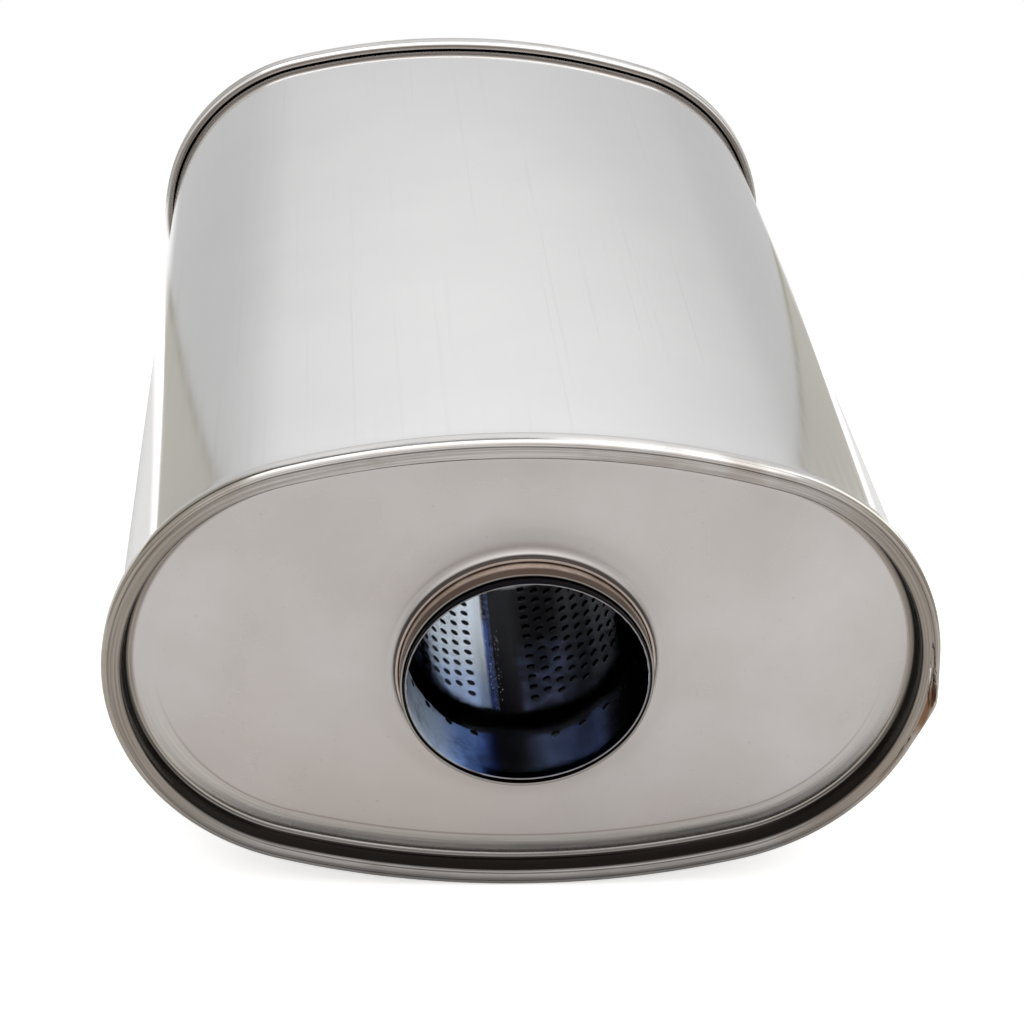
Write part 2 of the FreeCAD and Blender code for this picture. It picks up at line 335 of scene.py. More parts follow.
def rimSlit(station, inset, y):
    # depth of the rim's front at this place, with the slit that opens beside the lap
    if y > 1.2 * mm or inset > 4.2 * mm:
        return 0.0
    groove = rimGroove(inset) * (1 - smooth(0.2 * mm, 0.9 * mm, y))
    angle = station[3]
    onEnd = station[0] > 0 and station[1] == 0
    if not onEnd:
        return groove
    gap = 1 - smooth(math.radians(4), math.radians(11), abs(angle - math.radians(0.5)))
    line = 1 - smooth(math.radians(6), math.radians(14), angle)
    line *= smooth(math.radians(-38), math.radians(-26), angle)
    centre = lap["slitInset"] - 0.9 * mm * math.exp(-((angle - lap["angle"]) / math.radians(10)) ** 2)
    halfWidth = (lap["slitWidth"] + (lap["gapWidth"] - lap["slitWidth"]) * gap) / 2
    depth = lap["slitDepth"] * line + (lap["gapDepth"] - lap["slitDepth"]) * gap
    return max(groove, depth * (1 - smooth(halfWidth * 0.6, halfWidth * 1.3, abs(inset - centre))))


def ovalInset(point):
    # how far a point lies inside the rim's outline
    angle = math.atan2(point.z, abs(point.x) - endX)
    if abs(angle) <= endHalf:
        return endRadius - math.hypot(abs(point.x) - endX, point.z)
    return broadRadius - math.hypot(point.x, abs(point.z) - broadZ)


def insetInMm(point):
    # 0 on the rim's outline, growing towards the middle of the face
    return min(30.0, ovalInset(point) / mm)


def buildInletCap():
    (hemLeft, hemRight), (collarLeft, collarRight) = capSection()
    hemLeft, hemRight = spread(hemLeft, 3 * mm), spread(hemRight, 9 * mm)
    leftInFront = min(p[1] for p in hemLeft) < min(p[1] for p in hemRight)
    front, back = (hemLeft, hemRight) if leftInFront else (hemRight, hemLeft)
    collarFront, collarBack = (collarLeft, collarRight) if leftInFront else (collarRight, collarLeft)
    fine = []
    for i, point in enumerate(front):
        fine.append(point)
        if i + 1 < len(front):
            nxt = front[i + 1]
            flat = abs(point[1]) < 1e-5 and abs(nxt[1]) < 1e-5
            if flat:
                for k in range(1, cap["landSteps"]):
                    fine.append((point[0] + (nxt[0] - point[0]) * k / cap["landSteps"], point[1]))
    front = fine
    rings = []

    def ovalRing(inset, y):
        ring = []
        for station in stations:
            onRim = y < cap["rimLength"] + 0.1 * mm
            lift = lapLift(station) * (1 - smooth(1.1 * mm, 2.4 * mm, inset)) if onRim else 0.0
            lift *= smooth(cap["rimLength"], cap["rimLength"] - 0.6 * mm, y) * 0.85 + 0.15
            ring.append(ovalPoint(station, inset - lift, y + rimSlit(station, inset, y)))
        return ring

    def roundRing(radius, y):
        ring = []
        for station in stations:
            edge = ovalPoint(station, 20 * mm, 0)
            angle = math.atan2(edge.z, edge.x)
            ring.append(Vector((radius * math.cos(angle), y, radius * math.sin(angle))))
        return ring

    def between(outer, inner):
        made = []
        for k in range(1, cap["panelRings"]):
            share = k / cap["panelRings"]
            made.append([a.lerp(b, share) for a, b in zip(outer, inner)])
        return made

    frontRings = [ovalRing(*p) for p in front]
    collarRings = [roundRing(-p[0], p[1]) for p in spread(collarFront, 1.5 * mm)]
    backRings = [ovalRing(*p) for p in back]
    collarBackRings = [roundRing(-p[0], p[1]) for p in collarBack]
    lipFront, lipBack = collarFront[-1], collarBack[-1]
    lip = []
    width = lipBack[0] - lipFront[0]
    for k in range(1, 8):
        turn = math.pi * k / 8
        mid = (lipFront[0] + lipBack[0]) / 2
        lip.append(roundRing(-(mid - width / 2 * math.cos(turn)),
                             lipFront[1] - cap["lipRadius"] * math.sin(turn)))
    rings += frontRings + between(frontRings[-1], collarRings[0]) + collarRings
    rings += lip
    rings += collarBackRings[::-1] + between(collarBackRings[0], backRings[-1]) + backRings[::-1]
    piece = ringMesh("inletEndCap", rings)
    turnOut(piece)
    paint(piece, "inset", insetInMm)
    return piece


inletCap = buildInletCap()
outletCap = toOutlet("outletEndCap", inletCap)
print("stage: end caps")

shell = {
    "hookTip": sheet["thickness"] + sheet["play"] + 3.4 * mm,
    "nearBend": sheet["thickness"] * 1.5 + sheet["play"],
    "wallStep": 12.0 * mm,
    "lapClear": 6.3 * mm,
}


def buildShell():
    length = body["length"]
    path = [
        (layers["shellHook"], shell["hookTip"]),
        (layers["shellHook"], shell["nearBend"]),
        (layers["shell"], shell["nearBend"]),
        (layers["shell"], length - shell["nearBend"]),
        (layers["shellHook"], length - shell["nearBend"]),
        (layers["shellHook"], length - shell["hookTip"]),
    ]
    left, right = sheetSides(path, [layerPitch] * 4, sheet["thickness"])
    section = spread(left, shell["wallStep"]) + spread(right, shell["wallStep"])[::-1]
    piece = ringMesh("outerShell", [[ovalPoint(s, *p) for s in stations] for p in section])
    turnOut(piece)
    return piece


def buildLapStrip():
    inner = endRadius - layers["shell"]
    outer = inner + sheet["thickness"] * 1.5
    half = lap["width"] / 2 / inner
    steps = 16
    first, last = shell["lapClear"], body["length"] - shell["lapClear"]
    rows = 24
    vertices, faces = [], []
    for row in range(rows + 1):
        y = first + (last - first) * row / rows
        for layer in (inner, outer):
            for k in range(steps + 1):
                angle = lap["angle"] - half + 2 * half * k / steps
                reach = layer
                if layer == outer and k == 0:
                    reach -= 0.12 * mm
                vertices.append((endX + math.cos(angle) * reach, y, math.sin(angle) * reach))
    span = 2 * (steps + 1)

    def at(row, layer, k):
        return row * span + layer * (steps + 1) + k

    for row in range(rows):
        for k in range(steps):
            faces.append((at(row, 1, k), at(row, 1, k + 1), at(row + 1, 1, k + 1), at(row + 1, 1, k)))
            faces.append((at(row, 0, k + 1), at(row, 0, k), at(row + 1, 0, k), at(row + 1, 0, k + 1)))
        for k in (0, steps):
            faces.append((at(row, 0, k), at(row, 1, k), at(row + 1, 1, k), at(row + 1, 0, k)))
    for row in (0, rows):
        for k in range(steps):
            faces.append((at(row, 0, k), at(row, 0, k + 1), at(row, 1, k + 1), at(row, 1, k)))
    piece = buildMesh("shellLapStrip", vertices, faces)
    turnOut(piece)
    return piece


outerShell = buildShell()
lapStrip = buildLapStrip()
print("stage: shell")

neck = {
    "inner": neckHigh.x - 0.9 * mm,
    "outer": neckHigh.x,
    "proud": -neckLow.y,
    "end": neckHigh.y,
    "lip": 0.3 * mm,
    "around": 192,
}


def roundLoop(radius, y):
    ring = []
    for k in range(neck["around"]):
        angle = 2 * math.pi * k / neck["around"]
        ring.append(Vector((radius * math.cos(angle), y, radius * math.sin(angle))))
    return ring


def buildNeck():
    rings = []
    inner, outer, lip = neck["inner"], neck["outer"], neck["lip"]
    front = -neck["proud"]
    for y in (neck["end"], 4 * mm, 0.0, front + lip + 0.3 * mm, front + lip):
        rings.append(roundLoop(outer, y))
    middle, half = (inner + outer) / 2, (outer - inner) / 2
    for k in range(1, 8):
        turn = math.pi * k / 8
        rings.append(roundLoop(middle + half * math.cos(turn), front + lip - lip * math.sin(turn)))
    for y in (front + lip, front + lip + 0.3 * mm, 4 * mm, neck["end"]):
        rings.append(roundLoop(inner, y))
    piece = ringMesh("inletNeckTube", rings)
    turnOut(piece)
    return piece


core = {
    "socketRadius": 31.84 * mm,
    "boreRadius": 30.80 * mm,
    "wall": 0.8 * mm,
    "socketDepth": 19.0 * mm,
    "stepLength": 9.0 * mm,
    "mouthAtAxis": -3.9 * mm,
    "mouthStart": 2.5 * mm,        # from here to the mouth the wall follows the askew cut
    "mouthSkew": math.tan(math.radians(3.2)),
    "holeRadius": 1.25 * mm,
    "columnPitch": math.radians(7.41),
    "rowPitch": 5.2 * mm,
    "firstColumn": math.radians(12.8),   # from straight down, towards +X
    "columns": 45,
    "firstRing": 16.0 * mm,
    "seamAngle": math.radians(-7.5),
    "seamRidge": 0.14 * mm,
    "holePoints": 12,
    "lipRound": 0.3 * mm,
}


def coreRadius(y):
    length = body["length"]
    y = min(y, length - y)
    share = (y - core["socketDepth"]) / core["stepLength"]
    share = min(1.0, max(0.0, share))
    share = share + (smooth(0, 1, share) - share) * 0.6
    return core["socketRadius"] + (core["boreRadius"] - core["socketRadius"]) * share


def corePoint(angle, y, offset):
    # angle from straight down towards +X
    turn = (angle - core["seamAngle"] + math.pi) % (2 * math.pi) - math.pi
    ridge = core["seamRidge"] * math.exp(-(turn / math.radians(1.1)) ** 2)
    ridge *= smooth(2 * mm, 12 * mm, y) * smooth(body["length"] - 2 * mm, body["length"] - 12 * mm, y)
    radius = coreRadius(y) + offset - ridge
    return (radius * math.sin(angle), y, -radius * math.cos(angle))


class CoreMesh:
    def __init__(self):
        self.vertices = []
        self.faces = []
        self.known = {}

    def vertex(self, angle, y, offset):
        point = corePoint(angle, y, offset)
        key = (round(point[0] * 2e5), round(point[1] * 2e5), round(point[2] * 2e5))
        if key not in self.known:
            self.known[key] = len(self.vertices)
            self.vertices.append(point)
        return self.known[key]

    def face(self, corners, offset):
        made = [self.vertex(a, y, offset) for a, y in corners]
        clean = [v for i, v in enumerate(made) if v != made[i - 1]]
        if len(set(clean)) >= 3:
            self.faces.append(tuple(clean if offset else clean[::-1]))

    def plainCell(self, left, right, low, high):
        # one piece of wall without a hole, inside and outside
        for offset in (0.0, core["wall"]):
            self.face([(left, low), (right, low), (right, high), (left, high)], offset)


def cellOutline(left, right, low, high, middles):
    corners = [(left, low), (right, low)]
    corners += [(right, y) for y in middles]
    corners += [(right, high), (left, high)]
    corners += [(left, y) for y in reversed(middles)]
    return corners


def drilledCell(made, left, right, low, high, middles, centre):
    outline = cellOutline(left, right, low, high, middles)
    radius = core["boreRadius"]
    count = core["holePoints"]
    hole = []
    for k in range(count):
        turn = 2 * math.pi * (k + 0.5) / count
        hole.append((centre[0] + core["holeRadius"] * math.cos(turn) / radius,
                     centre[1] + core["holeRadius"] * math.sin(turn)))

    def bearing(point):
        return math.atan2(point[1] - centre[1], (point[0] - centre[0]) * radius) % (2 * math.pi)

    outer = sorted(outline, key=bearing)
    for offset in (0.0, core["wall"]):
        i, j = 0, 0
        total = len(outer) + count
        outerAngles = [bearing(p) for p in outer]
        holeAngles = [bearing(p) for p in hole]
        while i + j < total:
            nextOuter = outerAngles[i] if i < len(outer) else math.inf
            nextHole = holeAngles[j] if j < count else math.inf
            if nextOuter <= nextHole:
                made.face([outer[i - 1], outer[i % len(outer)], hole[(j - 1) % count]], offset)
                i += 1
            else:
                made.face([hole[j % count], hole[(j - 1) % count], outer[(i - 1) % len(outer)]], offset)
                j += 1
    for k in range(count):
        n = (k + 1) % count
        a, b = hole[k], hole[n]
        made.faces.append((made.vertex(*a, 0.0), made.vertex(*b, 0.0),
                           made.vertex(*b, core["wall"]), made.vertex(*a, core["wall"])))


def buildCore():
    made = CoreMesh()
    half = core["columnPitch"] / 2
    length = body["length"]
    edges = [core["firstColumn"] - half + core["columnPitch"] * i for i in range(core["columns"] + 1)]
    stripStart, stripEnd = edges[-1], edges[0] + 2 * math.pi
    plainSteps = 8
    plain = [stripStart + (stripEnd - stripStart) * k / plainSteps for k in range(plainSteps + 1)]
    rowStep = core["rowPitch"] / 2
    perfStart = core["socketDepth"] + core["stepLength"] + 0.6 * mm
    rows = int((length - 2 * perfStart) / rowStep / 2) * 2
    perfStart = (length - rows * rowStep) / 2
    ringLow, ringHigh = core["firstRing"] - rowStep, core["firstRing"] + rowStep
    steps = [core["socketDepth"] + core["stepLength"] * k / 6 for k in range(7)]
    ends = [core["mouthStart"], 6 * mm, 10 * mm, ringLow, ringHigh] + steps + [perfStart]
    allEdges = edges + plain[1:-1] + [edges[0] + 2 * math.pi]

    def plainBand(low, high):
        for a, b in zip(allEdges, allEdges[1:]):
            made.plainCell(a, b, low, high)

    def firstRingBand(low, high, middle):
        for i, (a, b) in enumerate(zip(allEdges, allEdges[1:])):
            if i < core["columns"] and i % 2 == (1 if i < core["columns"] / 2 else 0):
                drilledCell(made, a, b, low, high, [], ((a + b) / 2, middle))
            else:
                made.plainCell(a, b, low, high)

    for flip in (False, True):
        for low, high in zip(ends, ends[1:]):
            first, second = (low, high) if not flip else (length - high, length - low)
            if low == ringLow:
                firstRingBand(first, second, (first + second) / 2)
            else:
                plainBand(first, second)
    for i, (a, b) in enumerate(zip(allEdges, allEdges[1:])):
        if i >= core["columns"]:
            for row in range(rows):
                low = perfStart + row * rowStep
                made.plainCell(a, b, low, low + rowStep)
            continue
        row = 0
        if i % 2:
            made.plainCell(a, b, perfStart, perfStart + rowStep)
            row = 1
        while row + 2 <= rows:
            low = perfStart + row * rowStep
            drilledCell(made, a, b, low, low + 2 * rowStep, [low + rowStep], ((a + b) / 2, low + rowStep))
            row += 2
        if row < rows:
            low = perfStart + row * rowStep
            made.plainCell(a, b, low, low + rowStep)

    # mouths: the inlet's lip lies a little askew, as cut
    around = len(allEdges) - 1
    for flip in (False, True):
        start = core["mouthStart"]
        skew = core["mouthSkew"] if not flip else 0.0
        lipRadius = core["wall"] / 2
        profile = [(0.0, start, 0), (0.0, None, lipRadius)]
        for k in range(1, 8):
            turn = math.pi * k / 8
            back = lipRadius - core["lipRound"] * math.sin(turn)
            profile.append((lipRadius - lipRadius * math.cos(turn), None, back))
        profile += [(core["wall"], None, lipRadius), (core["wall"], start, 0)]
        loops = []
        for offset, y, back in profile:
            loop = []
            for angle in allEdges[:-1]:
                if y is not None:
                    place = y
                else:
                    height = -core["socketRadius"] * math.cos(angle)
                    place = core["mouthAtAxis"] - skew * height + back * 0.75
                if flip:
                    place = length - place
                loop.append(made.vertex(angle, place, offset))
            loops.append(loop)
        for first, second in zip(loops, loops[1:]):
            for k in range(around):
                n = (k + 1) % around
                made.faces.append((first[k], first[n], second[n], second[k]))
    piece = buildMesh("coreTube", made.vertices, made.faces, 50)
    turnOut(piece)
    return piece


inletNeck = buildNeck()
outletNeck = toOutlet("outletNeckTube", inletNeck)
coreTube = buildCore()
print("stage: necks and core,", len(coreTube.data.polygons), "faces in the core")


def socketNode(tree, kind, **values):
    node = tree.nodes.new(kind)
    for name, value in values.items():
        if hasattr(node, name):
            setattr(node, name, value)
        else:
            node.inputs[name.replace("_", " ")].default_value = value
    return node


def feed(tree, socket, source):
    if hasattr(source, "is_output"):
        tree.links.new(source, socket)
    elif isinstance(source, tuple) and socket.type == "RGBA":
        socket.default_value = (*source, 1)
    else:
        socket.default_value = source


def mathOf(tree, operation, *sources):
    node = socketNode(tree, "ShaderNodeMath", operation=operation)
    for socket, source in zip(node.inputs, sources):
        feed(tree, socket, source)
    return node.outputs["Value"]


def times(tree, first, second):
    return mathOf(tree, "MULTIPLY", first, second)


def plus(tree, first, second):
    return mathOf(tree, "ADD", first, second)


def axesOf(tree, vector):
    node = tree.nodes.new("ShaderNodeSeparateXYZ")
    tree.links.new(vector, node.inputs["Vector"])
    return node.outputs["X"], node.outputs["Y"], node.outputs["Z"]


def reachOf(tree, x, z):
    # distance from the gas tube's axis
    return mathOf(tree, "SQRT", plus(tree, times(tree, x, x), times(tree, z, z)))


def depthOf(tree, y):
    # depth behind the nearer rim
    return mathOf(tree, "MINIMUM", y, mathOf(tree, "SUBTRACT", body["length"], y))


def stepOf(tree, source, low, high, fromValue=0.0, toValue=1.0):
    # soft step from one value to another while the source goes from low to high
    node = socketNode(tree, "ShaderNodeMapRange", interpolation_type="SMOOTHSTEP")
    for name, value in (("From Min", low), ("From Max", high), ("To Min", fromValue), ("To Max", toValue)):
        node.inputs[name].default_value = value
    feed(tree, node.inputs["Value"], source)
    return node.outputs["Result"]


def bandOf(tree, source, start, full, fullEnd, end):
    return times(tree, stepOf(tree, source, start, full), stepOf(tree, source, end, fullEnd))


def mixOf(tree, share, first, second):
    node = tree.nodes.new("ShaderNodeMix")
    node.data_type = "RGBA"
    feed(tree, node.inputs["Factor"], share)
    feed(tree, node.inputs["A"], first)
    feed(tree, node.inputs["B"], second)
    return node.outputs["Result"]


def rampOf(tree, source, stops):
    node = tree.nodes.new("ShaderNodeValToRGB")
    while len(node.color_ramp.elements) < len(stops):
        node.color_ramp.elements.new(1.0)
    for element, (position, colour) in zip(node.color_ramp.elements, stops):
        element.position = position
        element.color = (*colour, 1) if isinstance(colour, tuple) else (colour, colour, colour, 1)
    feed(tree, node.inputs["Fac"], source)
    return node.outputs["Color"]


def noiseOf(tree, vector, scale, detail=4.0, roughness=0.55):
    node = socketNode(tree, "ShaderNodeTexNoise", Scale=scale, Detail=detail, Roughness=roughness)
    tree.links.new(vector, node.inputs["Vector"])
    return node.outputs["Fac"]


def stretched(tree, vector, scale):
    node = tree.nodes.new("ShaderNodeMapping")
    node.inputs["Scale"].default_value = scale
    tree.links.new(vector, node.inputs["Vector"])
    return node.outputs["Vector"]


def startSteel(name, metallic=1.0):
    material = bpy.data.materials.new(name)
    material.use_nodes = True
    tree = material.node_tree
    shader = tree.nodes["Principled BSDF"]
    shader.inputs["Metallic"].default_value = metallic
    place = tree.nodes.new("ShaderNodeTexCoord").outputs["Object"]
    return material, tree, shader, place


def finishSteel(tree, shader, colour, rough, height, bump, distance=0.0004):
    feed(tree, shader.inputs["Base Color"], colour)
    feed(tree, shader.inputs["Roughness"], rough)
    node = socketNode(tree, "ShaderNodeBump", Strength=bump, Distance=distance)
    feed(tree, node.inputs["Height"], height)
    tree.links.new(node.outputs["Normal"], shader.inputs["Normal"])


steelLooks = {
    "polishedShell": {"low": (0.80, 0.80, 0.80), "high": (0.86, 0.86, 0.857), "rough": (0.05, 0.10),
                      "grain": (420, 5, 420), "bump": 0.006, "blotch": 9, "wear": 0.004},
    "plainWrap": {"low": (0.55, 0.55, 0.54), "high": (0.62, 0.62, 0.61), "rough": (0.25, 0.35),
                  "grain": (80, 80, 80), "bump": 0.03, "blotch": 25, "wear": 0.1},
    "weldBead": {"low": (0.02, 0.03, 0.09), "high": (0.12, 0.16, 0.34), "rough": (0.2, 0.4),
                 "grain": (900, 900, 900), "bump": 0.2, "blotch": 400, "wear": 0.1},
    "weldDrop": {"low": (0.60, 0.72, 0.98), "high": (0.92, 0.96, 1.0), "rough": (0.12, 0.2),
                 "grain": (900, 900, 900), "bump": 0.05, "blotch": 300, "wear": 0.05},
}


def plainSteel(name):
    look = steelLooks[name]
    material, tree, shader, place = startSteel(name)
    grain = noiseOf(tree, stretched(tree, place, look["grain"]), 1.0, 3.0)
    blotches = noiseOf(tree, place, look["blotch"], 5.0, 0.6)
    tone = rampOf(tree, blotches, [(0.32, look["low"]), (0.68, look["high"])])
    worn = tuple(value * (1 - 2 * look["wear"]) for value in look["low"])
    tone = mixOf(tree, stepOf(tree, grain, 0.60, 0.78), tone, worn)
    rough = stepOf(tree, grain, 0.3, 0.7, *look["rough"])
    finishSteel(tree, shader, tone, rough, grain, look["bump"])
    return material


capTones = {
    "faceLow": (0.555, 0.515, 0.497),
    "faceMid": (0.615, 0.576, 0.562),
    "faceHigh": (0.66, 0.63, 0.62),
    "faceWarm": (0.605, 0.54, 0.497),
    "outerWall": (0.80, 0.785, 0.77),      # the rim's polished outside
    "foldLow": (0.56, 0.53, 0.51),         # outer fold of the rolled rim
    "foldHigh": (0.76, 0.735, 0.715),
    "backFold": (0.30, 0.265, 0.24),
    "landLow": (0.40, 0.375, 0.36),        # inner fold
    "landHigh": (0.60, 0.57, 0.55),
    "brownTint": (0.30, 0.235, 0.185),
    "sideTint": (0.58, 0.54, 0.48),        # the ends of the oval are browner
    "grooveDark": (0.055, 0.042, 0.034),
    "recessShade": (0.012, 0.0095, 0.008),  # painted shade in the recess
    # painted shade on the outer fold along the bottom
    "stain": (0.10, 0.092, 0.088),
    # a thin dark line painted along the bottom as shade
    "bottomShadeLine": (0.16, 0.15, 0.145),
    # painted reflection lines in the recess
    "reflectionLine": (0.86, 0.80, 0.74),
    # tones of the lighter ring painted along the bottom
    "lighterRingLow": (0.52, 0.48, 0.445),
    "lighterRingHigh": (0.74, 0.70, 0.66),
    # painted shadow in the gap beside the shell
    "backGapShadow": (0.012, 0.009, 0.008),
    "edgeDark": (0.07, 0.05, 0.04),        # across the collar's cut edge
    "edgeTan": (0.62, 0.54, 0.49),
    "edgeBrown": (0.13, 0.115, 0.105),
    "collar": (0.62, 0.59, 0.575),
    "rust": (0.22, 0.105, 0.045),
    "faceRough": (0.25, 0.33),
    "rimRough": (0.10, 0.22),
}


# where the cap's colours lie, by inset from the rim's outline in mm
capBands = {
    "outerWall": (0.35, 0.15),
    "joint": (1.5, 1.7),                   # between the outer and the inner fold
    "groove": (1.28, 1.52, 1.66, 1.95),
    # painted shade on the outer fold along the bottom
    "stain": (0.3, 0.6, 2.2, 3.5),
    # a thin dark line painted along the bottom as shade
    "bottomShadeLine": (4.05, 4.3, 4.4, 4.65),
    # where the painted shade on the recess's wall and in its corner lies
    "wallStart": (5.05, 5.2),
    "wallDepth": (0.0004, 0.0009, 0.0042, 0.0054),   # in metres behind the rim's front
    "corner": 5.6,
    "wallFoot": (8.2, 6.6),
    "wallTop": (4.5, 5.0),
    "rimEnd": (8.4, 7.4),
    # a lighter ring and a painted shade band, both only along the bottom
    "burnished": (7.2, 7.6, 11.6, 13.0),
    "pressed": (12.8, 13.1, 13.3, 13.7),
    "backFold": (2.45, 2.8),
    "backEdge": (1.2, 0.7),
    "backEnd": (4.6, 4.2),
    "rust": (-0.6, 0.3, 1.7, 2.3),
    # painted reflection lines in the recess, by inset in cm
    "lines": [(0.58, 0.0), (0.60, 0.4), (0.62, 0.0), (0.65, 0.0), (0.675, 0.55), (0.70, 0.0),
              (0.72, 0.2), (0.755, 1.0), (0.80, 0.3)],
}


def capSteel(name):
    tones, bands = capTones, capBands
    material, tree, shader, place = startSteel(name)
    inset = socketNode(tree, "ShaderNodeAttribute", attribute_name="inset").outputs["Fac"]
    x, y, z = axesOf(tree, place)
    depth = depthOf(tree, y)
    reach = reachOf(tree, x, z)
    atSides = stepOf(tree, mathOf(tree, "ABSOLUTE", x), 0.058, 0.096)
    below = stepOf(tree, z, 0.0, -0.045)
    # the face: soft pickled steel with faint warm and cool patches
    patches = noiseOf(tree, place, 22, 4.0, 0.55)
    face = rampOf(tree, patches,
                  [(0.30, tones["faceLow"]), (0.50, tones["faceMid"]), (0.70, tones["faceHigh"])])
    warm = stepOf(tree, noiseOf(tree, place, 9, 2.0), 0.50, 0.72, 0.0, 0.55)
    face = mixOf(tree, warm, face, tones["faceWarm"])
    specks = stepOf(tree, noiseOf(tree, place, 650, 3.0), 0.68, 0.76, 0.0, 0.25)
    face = mixOf(tree, specks, face, tones["brownTint"])
    # the rolled rim: streaks that run along it
    across = tree.nodes.new("ShaderNodeCombineXYZ")
    feed(tree, across.inputs["X"], times(tree, inset, 2.3))
    feed(tree, across.inputs["Y"], times(tree, x, 26.0))
    feed(tree, across.inputs["Z"], times(tree, z, 26.0))
    streaks = noiseOf(tree, across.outputs["Vector"], 1.0, 4.0, 0.62)
    streak = stepOf(tree, streaks, 0.34, 0.66)
    fold = mixOf(tree, streak, tones["foldLow"], tones["foldHigh"])
    land = mixOf(tree, streak, tones["landLow"], tones["landHigh"])
    rim = mixOf(tree, stepOf(tree, inset, *bands["joint"]), fold, land)
    rim = mixOf(tree, stepOf(tree, inset, *bands["outerWall"]), rim, tones["outerWall"])
    side = socketNode(tree, "ShaderNodeMix", data_type="RGBA", blend_type="MULTIPLY")
    feed(tree, side.inputs["Factor"], times(tree, atSides, 0.9))
    feed(tree, side.inputs["A"], rim)
    feed(tree, side.inputs["B"], tones["sideTint"])
    rim = side.outputs["Result"]
    tint = stepOf(tree, noiseOf(tree, place, 42, 3.0), 0.50, 0.70, 0.0, 0.45)
    rim = mixOf(tree, tint, rim, tones["brownTint"])
    groove = bandOf(tree, inset, *bands["groove"])
    grooveShare = mathOf(tree, "SUBTRACT", 0.75, times(tree, atSides, 0.5))
    rim = mixOf(tree, times(tree, groove, grooveShare), rim, tones["grooveDark"])
    # along the bottom the outer fold is painted darker down to its edge, as painted shade
    low = stepOf(tree, z, -0.030, -0.062)
    stain = times(tree, low, bandOf(tree, inset, *bands["stain"]))
    rim = mixOf(tree, times(tree, stain, 0.72), rim, tones["stain"])
    # a thin dark line painted across the rim's front along the bottom, as painted shade
    rim = mixOf(tree, times(tree, low, bandOf(tree, inset, *bands["bottomShadeLine"])), rim, tones["bottomShadeLine"])
    # painted shade on the recess's wall and in its corner, and painted reflection lines along the bottom
    onWall = bandOf(tree, depth, *bands["wallDepth"])
    wall = times(tree, stepOf(tree, inset, *bands["wallStart"]), onWall)
    corner = mathOf(tree, "ABSOLUTE", mathOf(tree, "SUBTRACT", inset, bands["corner"]))
    wall = mathOf(tree, "MAXIMUM", wall, stepOf(tree, corner, 1.3, 0.3))
    wall = times(tree, wall, stepOf(tree, inset, *bands["wallFoot"]))
    wall = times(tree, wall, stepOf(tree, inset, *bands["wallTop"]))
    rim = mixOf(tree, times(tree, wall, 0.99), rim, tones["recessShade"])
    # light lines painted along the bottom of the recess as painted reflection
    lineTone = rampOf(tree, mathOf(tree, "DIVIDE", inset, 10.0), bands["lines"])
    rim = mixOf(tree, times(tree, lineTone, times(tree, below, 0.85)), rim, tones["reflectionLine"])
    ring = stepOf(tree, inset, *bands["rimEnd"])
    colour = mixOf(tree, ring, face, rim)
    # a lighter streaked ring on the face, painted only along the bottom
    burnished = times(tree, bandOf(tree, inset, *bands["burnished"]), below)
    polish = mixOf(tree, streak, tones["lighterRingLow"], tones["lighterRingHigh"])
    colour = mixOf(tree, times(tree, burnished, 0.75), colour, polish)
    # painted shade: a brownish band where the face's ramp turns downward, only along the bottom
    pressed = times(tree, bandOf(tree, inset, *bands["pressed"]), below)
    colour = mixOf(tree, times(tree, pressed, 0.55), colour, tones["brownTint"])
    # the back of the rolled rim: a brown fold, painted black beside the shell as shadow in the gap
    behind = stepOf(tree, depth, 0.0028, 0.0040)
    backTone = mixOf(tree, stepOf(tree, inset, *bands["backFold"]), tones["backFold"], tones["backGapShadow"])
    backTone = mixOf(tree, stepOf(tree, inset, *bands["backEdge"]), backTone, tones["outerWall"])
    colour = mixOf(tree, times(tree, behind, stepOf(tree, inset, *bands["backEnd"])), colour, backTone)
    # the collar's cut edge, brown on both its corners
    cutEdge = rampOf(tree, times(tree, mathOf(tree, "SUBTRACT", reach, 0.0330), 400.0),
                     [(0.20, tones["edgeDark"]), (0.34, tones["edgeDark"]), (0.42, tones["edgeTan"]),
                      (0.56, tones["edgeTan"]), (0.64, tones["edgeBrown"]), (0.76, tones["edgeBrown"]),
                      (0.90, tones["collar"])])
    colour = mixOf(tree, stepOf(tree, reach, 0.0357, 0.0352), colour, cutEdge)
    # rust in the slit beside the lap
    reachRust = tree.nodes.new("ShaderNodeVectorMath")
    reachRust.operation = "DISTANCE"
    tree.links.new(place, reachRust.inputs[0])
    turn = lap["angle"] - math.radians(1.5)
    rustReach = endRadius - 1.3 * mm
    reachRust.inputs[1].default_value = (endX + rustReach * math.cos(turn), 0.0, rustReach * math.sin(turn))
    ragged = plus(tree, reachRust.outputs["Value"],
                  times(tree, noiseOf(tree, place, 260, 4.0, 0.7), 0.006))
    rusty = times(tree, stepOf(tree, ragged, 0.0125, 0.0065), bandOf(tree, inset, *bands["rust"]))
    colour = mixOf(tree, times(tree, rusty, 0.85), colour, tones["rust"])
